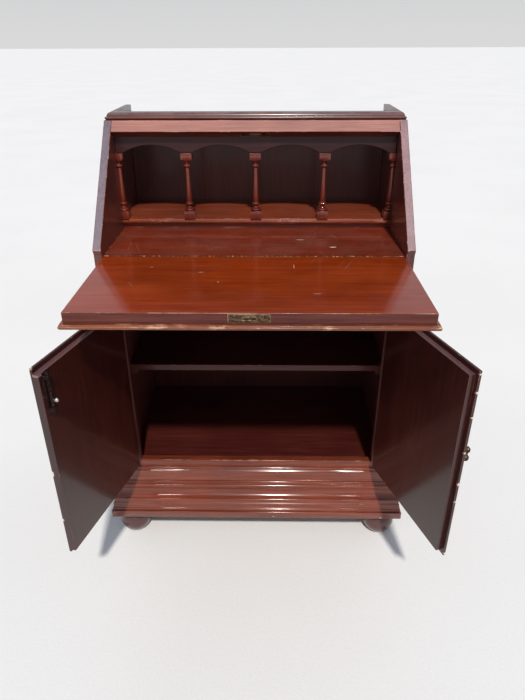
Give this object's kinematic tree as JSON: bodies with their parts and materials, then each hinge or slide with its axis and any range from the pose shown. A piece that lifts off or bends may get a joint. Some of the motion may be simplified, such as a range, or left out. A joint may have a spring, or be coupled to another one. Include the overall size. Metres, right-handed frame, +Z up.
{
  "type": "secretary desk",
  "caption": "Fall-front writing bureau with sloping flap on pull-out supports, turned arcade over a stationery shelf, lipped cupboard doors, stepped plinth and ball feet.",
  "frame": {"origin": "on the floor under the middle of the carcass, halfway between its front plane and its back", "axes": "+Z up; -Y to the front, where the fall and the doors open; +X to the right of someone facing the desk"},
  "size_m": [0.7889, 0.6771, 1.015],
  "materials": {
    "mahogany_carcass": "polished, worn",
    "mahogany_interior": "dark stained, satin",
    "mahogany_writing": "polished, scratched",
    "mahogany_facing": "polished, worn edges",
    "mahogany_door": "polished",
    "mahogany_moulding": "polished",
    "mahogany_turned": "polished",
    "secondary_wood": "sawn and planed, unpolished",
    "brass": "dull, handled",
    "aged_brass": "dark patina",
    "steel": "dull"
  },
  "bodies": {
    "carcass": {"side_left": "mahogany_carcass", "side_right": "mahogany_carcass", "top_rail": "mahogany_carcass", "lock_strike_plate": "brass", "top_panel": "mahogany_carcass", "base_board": "secondary_wood", "base_front": "mahogany_carcass", "cupboard_floor": "mahogany_interior", "back_panel": "mahogany_interior", "dust_board": "mahogany_interior", "writing_bed": "mahogany_writing", "bed_bearer": "mahogany_interior", "frieze_rail": "mahogany_carcass", "shelf_riser": "mahogany_writing", "cupboard_shelf": "mahogany_interior", "stile_left": "mahogany_carcass", "stile_right": "mahogany_carcass", "head_rail": "mahogany_carcass", "stationery_shelf": "mahogany_writing", "arcade_apron": "mahogany_interior", "apron_batten": "mahogany_carcass", "columns": "mahogany_turned", "end_columns": "mahogany_turned", "plinth_front": "mahogany_moulding", "plinth_left": "mahogany_moulding", "plinth_right": "mahogany_moulding", "gallery_front": "mahogany_moulding", "gallery_left": "mahogany_moulding", "gallery_right": "mahogany_moulding", "feet": "mahogany_turned", "shelf_battens": "secondary_wood", "hidden_blocks": "secondary_wood", "loper_guides": "secondary_wood", "bed_hinge_leaf": "brass", "fall_hinge_pin": "brass", "frame_hinge_leaves": "brass", "door_hinge_pins": "brass"},
    "fall": {"fall_panel": "mahogany_writing", "fall_facing": "mahogany_facing", "fall_hinge_leaf": "brass", "fall_lock_case": "steel", "fall_lock_selvage": "brass", "fall_lock_screws": "brass", "fall_escutcheon": "brass"},
    "fall_bolt": {"fall_lock_bolt": "steel"},
    "left_door": {"door_left_panel": "mahogany_door", "door_left_facing": "mahogany_facing", "door_left_hinge_leaves": "brass", "left_bolt_plate": "steel"},
    "left_bolt": {"left_bolt_rod": "steel", "left_bolt_knob": "steel"},
    "right_door": {"door_right_panel": "mahogany_door", "door_right_facing": "mahogany_facing", "door_right_hinge_leaves": "brass", "right_handle_plate": "aged_brass", "right_handle_post": "aged_brass"},
    "right_drop": {"right_handle_drop": "aged_brass"},
    "left_loper": {"loper_left": "secondary_wood"},
    "right_loper": {"loper_right": "secondary_wood"}
  },
  "joints": [
    {"name": "fall_hinge", "type": "hinge", "parent": "carcass", "child": "fall", "pos_m": [0, -0.182, 0.76], "axis": [-1, 0, 0], "range_deg": [0, 133.29]},
    {"name": "fall_lock_slide", "type": "slide", "parent": "fall", "child": "fall_bolt", "axis": [0, -1, 0], "range_m": [0, 0.007]},
    {"name": "left_door_hinge", "type": "hinge", "parent": "carcass", "child": "left_door", "pos_m": [-0.2973, -0.196, 0.4445], "axis": [0, 0, 1], "range_deg": [-50, 106]},
    {"name": "right_door_hinge", "type": "hinge", "parent": "carcass", "child": "right_door", "pos_m": [0.2973, -0.196, 0.4445], "axis": [0, 0, -1], "range_deg": [-50, 109]},
    {"name": "left_bolt_slide", "type": "slide", "parent": "left_door", "child": "left_bolt", "axis": [0, 0, 1], "range_m": [0, 0.012]},
    {"name": "right_handle_swing", "type": "hinge", "parent": "right_door", "child": "right_drop", "pos_m": [0.40421, -0.45828, 0.48], "axis": [0.3256, -0.9455, 0], "range_deg": [-10, 75]},
    {"name": "left_loper_slide", "type": "slide", "parent": "carcass", "child": "left_loper", "axis": [0, 1, 0], "range_m": [0, 0.17]},
    {"name": "right_loper_slide", "type": "slide", "parent": "carcass", "child": "right_loper", "axis": [0, 1, 0], "range_m": [0, 0.17]}
  ]
}
